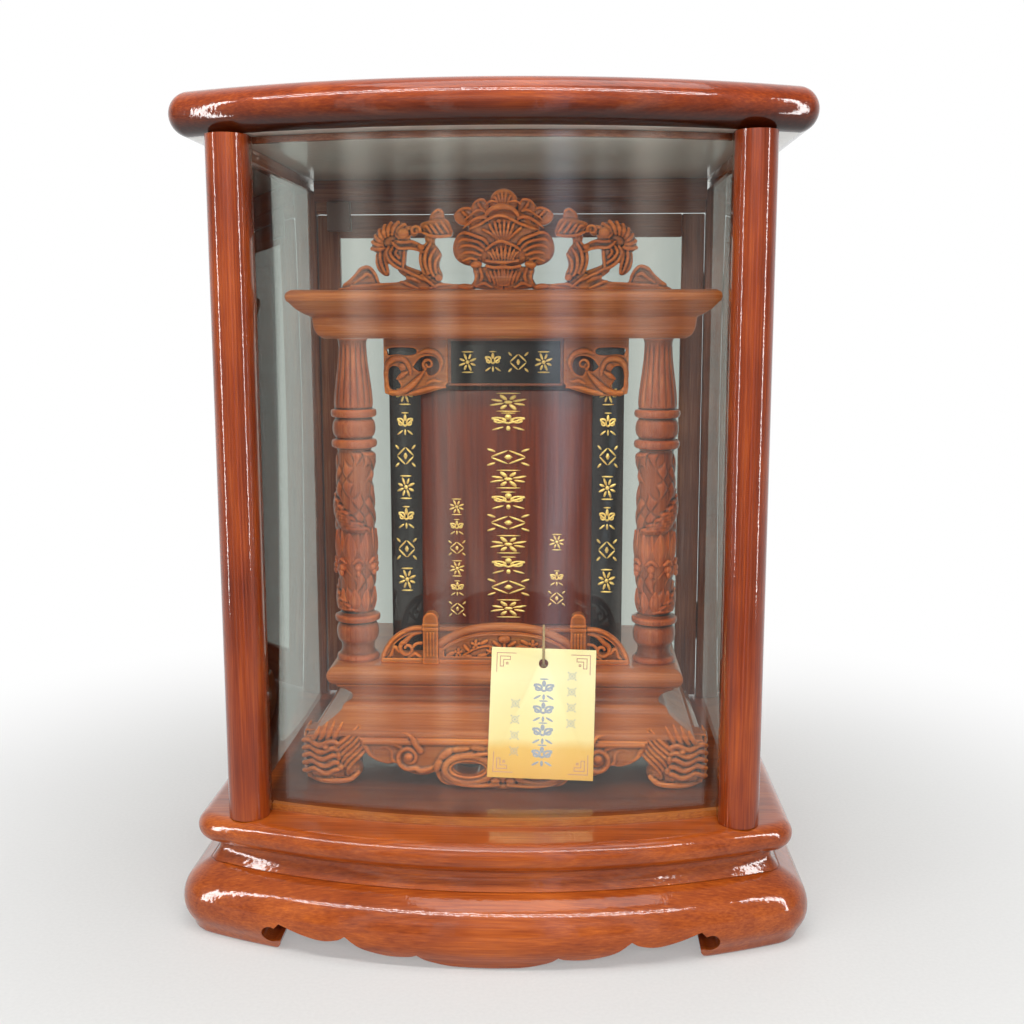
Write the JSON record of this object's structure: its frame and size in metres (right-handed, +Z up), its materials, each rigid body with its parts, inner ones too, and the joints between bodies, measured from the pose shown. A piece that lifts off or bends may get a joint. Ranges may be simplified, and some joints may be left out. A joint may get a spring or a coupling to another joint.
{
  "type": "chinese ancestor shrine",
  "caption": "Carved ancestral tablet with roofed columns and railing, standing in a bow-fronted glazed case of glossy red-brown wood with a glazed rear door.",
  "frame": {"origin": "centre of the footprint on the floor, under the front and side aprons of the base", "axes": "+Z up; the bowed glass front faces -Y and the rear door +Y; +X to the right as seen from the front"},
  "size_m": [0.541, 0.466, 0.702],
  "materials": {
    "lacquer_red_brown": "hardwood stained red-brown under thick glossy lacquer",
    "lacquer_dark": "hardwood stained dark brown under glossy lacquer",
    "bare_wood_edge": "thinly coated orange-brown wood bead",
    "pale_wood": "bare pale softwood",
    "glass_clear": "clear float glass with polished edges",
    "lacquer_black": "black gloss lacquer on wood",
    "board_red_brown": "red-brown gloss lacquer on wood",
    "hinge_brass": "polished brass",
    "pin_steel": "plain steel",
    "catch_plastic": "brown moulded plastic housing",
    "label_card": "coated cream card",
    "label_string": "twisted jute"
  },
  "bodies": {
    "case": {"top_board": "lacquer_red_brown", "base_board": "lacquer_red_brown", "base_moulding": "lacquer_red_brown", "apron_front": "lacquer_red_brown", "apron_left": "lacquer_red_brown", "apron_right": "lacquer_red_brown", "apron_rear": "lacquer_dark", "head_bead_front": "lacquer_dark", "sill_bead_front": "bare_wood_edge", "head_rail_left": "lacquer_dark", "head_rail_right": "lacquer_dark", "head_rail_rear": "lacquer_dark", "post_front_left": "lacquer_red_brown", "post_front_right": "lacquer_red_brown", "post_rear_left": "lacquer_dark", "post_rear_right": "lacquer_dark", "glass_front": "glass_clear", "glass_left": "glass_clear", "glass_right": "glass_clear", "glass_block_left": "pale_wood", "glass_block_right": "pale_wood", "hinge_upper_case_leaf": "hinge_brass", "hinge_lower_case_leaf": "hinge_brass", "hinge_upper_pin": "pin_steel", "hinge_lower_pin": "pin_steel", "catch_magnet": "catch_plastic", "stand_apron_front": "lacquer_red_brown", "stand_side_left": "lacquer_red_brown", "stand_side_right": "lacquer_red_brown", "stand_foot_left": "lacquer_red_brown", "stand_foot_right": "lacquer_red_brown", "stand_plinth": "lacquer_red_brown", "stand_top": "lacquer_red_brown", "railing_cap": "lacquer_red_brown", "railing_panel": "lacquer_red_brown", "railing_wing_left": "lacquer_red_brown", "railing_wing_right": "lacquer_red_brown", "column_left": "lacquer_red_brown", "column_right": "lacquer_red_brown", "tablet_back": "lacquer_dark", "couplet_board_left": "lacquer_black", "couplet_board_right": "lacquer_black", "lintel_plaque": "lacquer_black", "bracket_left": "lacquer_red_brown", "bracket_right": "lacquer_red_brown", "roof": "lacquer_red_brown", "crown": "lacquer_red_brown", "name_board": "pale_wood"},
    "rear_door": {"door_stile_left": "lacquer_dark", "door_stile_right": "lacquer_dark", "door_rail_top": "lacquer_dark", "door_rail_bottom": "lacquer_dark", "door_glass": "glass_clear", "door_knob": "hinge_brass", "hinge_upper_door_leaf": "hinge_brass", "hinge_lower_door_leaf": "hinge_brass", "catch_strike": "pin_steel"},
    "inscription_board": {"inscription_board": "board_red_brown"},
    "label": {"label_card": "label_card", "label_string": "label_string"}
  },
  "joints": [
    {"name": "rear_door_hinge", "type": "hinge", "parent": "case", "child": "rear_door", "pos_m": [0.20625, 0.2183, 0.366], "axis": [0, 0, -1], "range_deg": [0, 110]},
    {"name": "inscription_lift", "type": "slide", "parent": "case", "child": "inscription_board", "axis": [0, 0, 1], "range_m": [0, 0.034]},
    {"name": "label_swing", "type": "hinge", "parent": "case", "child": "label", "pos_m": [0.042, -0.055, 0.2396], "axis": [1, 0, 0], "range_deg": [-25, 0]}
  ]
}
